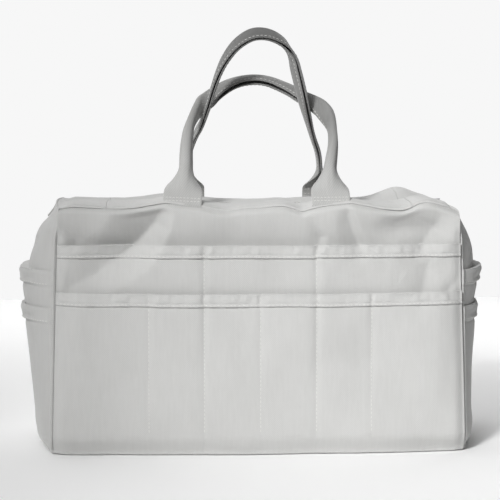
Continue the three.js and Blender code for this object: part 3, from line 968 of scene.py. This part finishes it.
# slider: two tapered plates on a web, with a bridge on two posts for the pull
near_side = [(158.7, -3.2), (163, -4.6), (169, -4.6), (171.4, -2.2)]
taper = near_side + [(x, -y) for x, y in near_side[::-1]]
slider = joined("zip_slider_cast", [
    (taper, 244.3, 245.4, 0.3),
    (taper, 240.3, 241.3, 0.3),
    (oval(163, 169, 0.5), 241.0, 244.5, 0.1),
    (oval(160.1, 162.4, 0.8), 245.2, 247.7, 0.2),
    (oval(167.6, 169.9, 0.8), 245.2, 247.7, 0.2),
    (oval(160.1, 169.9, 0.8), 247.5, 248.4, 0.25),
])
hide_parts("zip_slider")
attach(slider, "slider")

# pull: two rails and two bars round a window, and a leaf to hold
pull = joined("zip_pull_tab", [
    (oblong(164.6, 175, -2.9, -1.5), 246.2, 247.2, 0.25),
    (oblong(164.6, 175, 1.5, 2.9), 246.2, 247.2, 0.25),
    (oblong(164.5, 165.5, -2.9, 2.9), 246.25, 247.15, 0.25),
    (oblong(173.2, 177, -2.9, 2.9), 246.25, 247.15, 0.25),
    (oval(175.5, 192.8, 3.0), 246.2, 247.2, 0.3),
])
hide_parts("zip_pull")
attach(pull, "pull")

# a tab of tape sewn over each end panel below the zip
TAB_HALF = 8.6
for side, word in WORD.items():
    w, rise = np.meshgrid(np.linspace(-TAB_HALF, TAB_HALF, 12), np.linspace(0.925, 0.972, 9))
    grid = ENDS[side].panel(w, rise)
    grid = grid + normals_of(grid) * (2.3 - 0.8 * (np.abs(w) / TAB_HALF)[..., None] ** 4)
    piece = cloth_piece(f"zip_tab_{word}_cloth", grid, w, rise * HEIGHT, TAPE, thick=1.5)
    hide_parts(f"zip_tab_{word}")
    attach(piece, "bag")


# ---------- handles ----------
def spline(points, count):
    """Even points on a smooth line through the given ones."""
    p = np.array(points, float)
    p = np.concatenate([[2 * p[0] - p[1]], p, [2 * p[-1] - p[-2]]])
    out = []
    for i in range(1, len(p) - 2):
        t = np.linspace(0, 1, 24, endpoint=False)[:, None]
        a, b, c, d = p[i - 1], p[i], p[i + 1], p[i + 2]
        curve = (2 * a - 5 * b + 4 * c - d) * t**2 + (3 * b - a - 3 * c + d) * t**3
        out.append(0.5 * (2 * b + (c - a) * t + curve))
    out.append(p[-2][None, :])
    dense = np.concatenate(out)
    along = np.concatenate([[0], np.cumsum(np.linalg.norm(np.diff(dense, axis=0), axis=1))])
    even = np.linspace(0, along[-1], count)
    return np.stack([np.interp(even, along, dense[:, k]) for k in range(3)], 1), even


WEBBING_HALF, WEBBING_THICK = 19.0, 1.7
LOOP_STEPS = 250


def mirrored(middle_out, negated):
    """Values across the whole width from those of one half."""
    other = -middle_out[:0:-1] if negated else middle_out[:0:-1]
    return np.concatenate([other, middle_out])


def trough(wall, curl, shut):
    """Section of webbing folded lengthwise: positions and normals across its width.

    shut runs from 0 for a round channel to 1 for two layers pressed together."""
    q = np.linspace(0, WEBBING_HALF, 24)
    bend = wall * smooth(q, 0, 5 - 2 * shut) + curl * smooth(q, 7, WEBBING_HALF + 2)
    middle = (bend[1:] + bend[:-1]) / 2
    x = np.concatenate([[0], np.cumsum(np.cos(middle) * np.diff(q))])
    y = np.concatenate([[0], np.cumsum(np.sin(middle) * np.diff(q))])
    centre = np.stack([mirrored(x, True), mirrored(y - y[-1] / 2, False)], 1)
    normal = np.stack([mirrored(-np.sin(bend), True), mirrored(np.cos(bend), False)], 1)
    return mirrored(q, True), centre, normal


def webbing_loop(name, points, plane, gather, table, nodes, hinge_y):
    """Webbing sewn in flat at both ends and folded lengthwise into a trough along the grip.

    gather holds where, from each end, the folding starts and is complete. table holds, along
    the loop from 0 to 1: roll of the opening (0 to the front, 90 to the hand gap, 180 to the
    rear), wall angle, and how much painted shade darkens it, standing for the shade on the upper loop."""
    path, along = spline(points, LOOP_STEPS)
    total = along[-1]
    tangent = unit(np.gradient(path, axis=0))
    inward = unit(np.cross(tangent, np.array(plane, float)))
    top, quarter = LOOP_STEPS // 2, LOOP_STEPS // 4
    hand = np.array([0, path[top, 1], path[top, 2] - 60])
    if np.dot(inward[quarter], hand - path[quarter]) < 0:
        inward = -inward
    out = np.cross(inward, tangent)
    out *= -np.sign(out[:, 1:2])
    folded = smooth(np.minimum(along, total - along), *gather)
    # roll, wall angle and painted shade along the loop, read from the table
    roll, angle, painted_shade = (
        knots(along / total, [(row[0], row[column]) for row in table]) for column in (1, 2, 3))
    roll, painted_shade = np.radians(roll), np.clip(painted_shade, 0, 1)
    shut = smooth(angle, 70, 88) * folded
    wall, curl = np.radians(angle) * folded, (1.05 - 0.7 * shut) * folded
    rings, flat = [], []
    for k in range(LOOP_STEPS):
        q, centre, normal = trough(wall[k], curl[k], shut[k])
        edge = np.minimum(1, (WEBBING_HALF - np.abs(q)) / 1.4 + 0.4)[:, None] * WEBBING_THICK / 2
        ring = np.concatenate([centre + normal * edge, (centre - normal * edge)[::-1]])
        across = math.cos(roll[k]) * inward[k] - math.sin(roll[k]) * out[k]
        opening = math.cos(roll[k]) * out[k] + math.sin(roll[k]) * inward[k]
        rings.append(path[k] + ring[:, :1] * across + ring[:, 1:] * opening)
        width = np.concatenate([q, q[::-1]])
        # painted shade in the fold: darkest along the middle of the trough's inner face
        deep = np.concatenate([np.cos(q / WEBBING_HALF * 1.3), np.zeros(len(q))])
        shade = np.clip(painted_shade[k] * (1 + 0.35 * deep * folded[k]), 0, 1)
        flat.append(np.stack([width, np.full(len(width), along[k]), shade], 1))
    rings, flat = np.array(rings), np.array(flat)
    size = rings.shape[1]
    k, m = np.meshgrid(np.arange(LOOP_STEPS - 1), np.arange(size), indexing="ij")
    k, m = k.ravel() * size, m.ravel()
    n = (m + 1) % size
    faces = np.stack([k + m, k + n, k + size + n, k + size + m], 1).tolist()
    last = (LOOP_STEPS - 1) * size
    for m in range(size // 2 - 1):
        n, p, q = m + 1, size - 2 - m, size - 1 - m
        faces.append([m, q, p, n])
        faces.append([last + m, last + n, last + p, last + q])
    piece = finish_mesh(name, rings.reshape(-1, 3), faces, WEBBING, flat.reshape(-1, 3))
    turned_out(piece)
    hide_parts(*nodes)
    start, end = (0, hinge_y * MM, 0.238), (0, hinge_y * MM, 0.258)
    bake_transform(piece)
    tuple(start)
    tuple(end)
    sewn = Stitches()
    half = size // 2
    for column in (3, half - 4):
        for one, other in ((column, size - 1 - column), (size - 1 - column, column)):
            line = rings[26:-26, one]
            sewn.run(line, unit(line - rings[26:-26, other]), length=3.2, gap=1.1, height=0.3)
    for row in (18, 23):
        for spot in (row, total - row):
            ring = rings[int(np.argmin(np.abs(along - spot)))]
            front_side, rear_side = ring[1:half - 1], ring[size - 2:half:-1]
            n = unit(front_side - rear_side)
            sewn.run(front_side, n, length=2.6, gap=0.9, height=0.5)
            sewn.run(rear_side, -n, length=2.6, gap=0.9, height=0.5)
    stitching = sewn.piece(name + "_stitching", THREAD, "webbing")
    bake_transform(stitching)
    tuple(start)
    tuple(end)


SEAM_Y, SEAM_Z = 88.4, 245  # top seam that the handles rise from


def handle(word, side, lean, points, gather, table):
    """One loop, from points (x, height above the seam, extra towards the back).

    It lies on a plane through the top seam, leaning inwards by lean degrees."""
    lean = math.radians(lean)
    path = [
        (x, side * SEAM_Y - side * max(0, h) * math.tan(lean) + more, SEAM_Z + h) for x, h, more in points]
    nodes = (f"{word}_handle", f"{word}_handle_tab_left", f"{word}_handle_tab_right")
    plane = (0, -math.cos(lean), -side * math.sin(lean))
    webbing_loop(f"{word}_handle_webbing", path, plane, gather, table, nodes, side * 91.6)


FRONT_PATH = [
    (-76, -7, 14), (-76, -3, 7), (-76, 2, 1.0), (-74.5, 18, 0), (-72, 36, 0), (-71.5, 50, 0), (-70.5, 63, 1),
    (-68, 77, 3), (-62, 90, 8), (-55.5, 98, 12), (-48.5, 104, 15), (-42.5, 109.5, 17), (-30, 118, 17),
    (-18.5, 123, 17), (-7, 125.5, 17), (5, 126, 17), (17, 124, 17), (28.5, 119.5, 17), (40, 114, 17),
    (48, 109, 16.5), (59, 103, 15), (67, 97, 11), (74, 88, 6), (77.5, 79, 3), (78, 68, 2), (77, 57, 1),
    (74, 44, 0), (71.5, 32, 0), (70.5, 16, 0), (70.5, 2, 1.0), (70.5, -3, 7), (70.5, -7, 14),
]
BACK_PATH = [
    (-70, -7, -14), (-70, -3, -7), (-70, 2, -1.0), (-70, 20, -2), (-69, 38, -4), (-66.5, 52, -6),
    (-63, 62, -9), (-59, 71, -15), (-54.5, 80, -26), (-48, 99, -38), (-42.5, 118, -38), (-36.5, 134, -31),
    (-29, 148, -22), (-19, 160.5, -14), (-6, 169.5, -8), (6, 172, -5), (18.5, 169.5, -5), (30, 162, -8),
    (38, 149, -16), (42.5, 132, -28), (46.5, 115.5, -37), (50, 102, -38), (56, 85, -27), (63.5, 66, -13),
    (70, 50, -7), (73, 35, -4), (74.5, 18, -2), (75, 2, -1.0), (75, -3, -7), (75, -7, -14),
]
# the last column of each table is painted shade: the loop darkens upwards, where it is shaded
FRONT_TABLE = [
    (0, 180, 64, 0), (0.12, 180, 66, 0.05), (0.2, 182, 70, 0.14), (0.27, 184, 78, 0.28),
    (0.32, 165, 80, 0.42), (0.38, 84, 80, 0.58), (0.43, 68, 80, 0.62), (0.5, 62, 80, 0.64),
    (0.57, 66, 80, 0.62), (0.63, 80, 80, 0.62), (0.69, 130, 80, 0.7), (0.74, 170, 82, 0.7),
    (0.8, 176, 77, 0.5), (0.88, 180, 68, 0.14), (1, 180, 64, 0),
]
BACK_TABLE = [
    (0, 0, 70, 0.15), (0.1, 0, 84, 0.4), (0.2, -4, 88, 0.65), (0.3, -6, 86, 0.8), (0.38, -2, 86, 0.9),
    (0.44, 8, 86, 0.96), (0.5, 12, 86, 1.0), (0.55, 2, 85, 0.94), (0.6, -22, 84, 0.8),
    (0.66, -24, 82, 0.74), (0.72, -18, 84, 0.74), (0.78, -10, 87, 0.75), (0.84, -6, 86, 0.7),
    (0.91, 0, 86, 0.5), (1, 0, 70, 0.15),
]
handle("front", -1, 42, FRONT_PATH, (24, 64), FRONT_TABLE)
handle("back", 1, 25, BACK_PATH, (20, 52), BACK_TABLE)

# ---------- carried-over CAD node ----------
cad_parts["base_board"].data.materials.clear()
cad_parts["base_board"].data.materials.append(BOARD)

# ---------- floor, light, camera, in metres ----------
bpy.ops.mesh.primitive_plane_add(size=2.8, location=(0, -0.2, -0.0005))
floor = bpy.context.object
floor.name = "floor"
paint = Tree(bpy.data.materials.new("floor"))
paint.look(Roughness=0.8, Base_Color=(0.97, 0.97, 0.97))
floor.data.materials.append(paint.owner)


def placed(name, data, place):
    """An object at a place in the scene."""
    obj = bpy.data.objects.new(name, data)
    obj.location = place
    bpy.context.scene.collection.objects.link(obj)
    return obj


def light(name, kind, place, target, power):
    data = bpy.data.lights.new(name, kind)
    data.energy = power
    lamp = placed(name, data, place)
    lamp.rotation_euler = (Vector(target) - Vector(place)).to_track_quat("-Z", "Y").to_euler()
    return data


for name, place, target, size, power in (
    ("soft", (-1.1, -2.4, 1.9), (0, 0, 0.15), (1.1, 0.9), 17.5),
    ("backdrop", (0, 1.1, 0.95), (0, 0.8, 0), (2.6, 0.7), 14),
    ("overhead", (-0.5, 0.7, 2.2), (-0.1, 0.3, 0), (2.2, 1.6), 8.5),
):
    panel = light(name, "AREA", place, target, power)
    panel.shape = "RECTANGLE"
    panel.size, panel.size_y = size

# shaped beam from the upper left, fullest on the lower right of the front
beam = light("key", "SPOT", (-1.0, -2.1, 1.55), (0.24, -0.1, 0.075), 274)
beam.spot_size = math.radians(25)
beam.spot_blend = 1.0
beam.shadow_soft_size = 0.22

# studio walls: bright behind the bag, soft to the left and above, dim to the right
world = bpy.data.worlds.new("studio")
sky = Tree(world)
heading = sky.add("SeparateXYZ", sky.add("TexCoord").outputs["Generated"])
walls = []
for axis, limits in (
    ("Y", dict(From_Min=0.84, From_Max=0.97, To_Min=0.0, To_Max=0.78)),
    ("X", dict(From_Min=-0.6, From_Max=0.6, To_Min=0.29, To_Max=0.0)),
):
    wall = sky.add("MapRange", heading.outputs[axis], **limits)
    wall.interpolation_type = "SMOOTHSTEP"
    walls.append(wall.outputs[0])
glow = sky.nodes["Background"]
sky.link(sky.sums("ADD", *walls), glow.inputs["Color"])
# the walls themselves are pale wherever they are seen, whatever light they give
pale = sky.add("Background", Color=(0.93, 0.93, 0.93, 1))
seen = sky.add("MixShader", sky.add("LightPath").outputs["Is Camera Ray"])
sky.link(glow.outputs[0], seen.inputs[1])
sky.link(pale.outputs[0], seen.inputs[2])
sky.link(seen.outputs[0], sky.nodes["World Output"].inputs["Surface"])
bpy.context.scene.world = world
bpy.context.scene.view_settings.view_transform = "Standard"

lens = bpy.data.cameras.new("camera")
lens.sensor_width = 36
lens.lens = 110.6
camera = placed("camera", lens, (-0.083, -1.588, 0.334))
camera.rotation_euler = (math.radians(84.97), 0, math.radians(-2.8))
bpy.context.scene.camera = camera
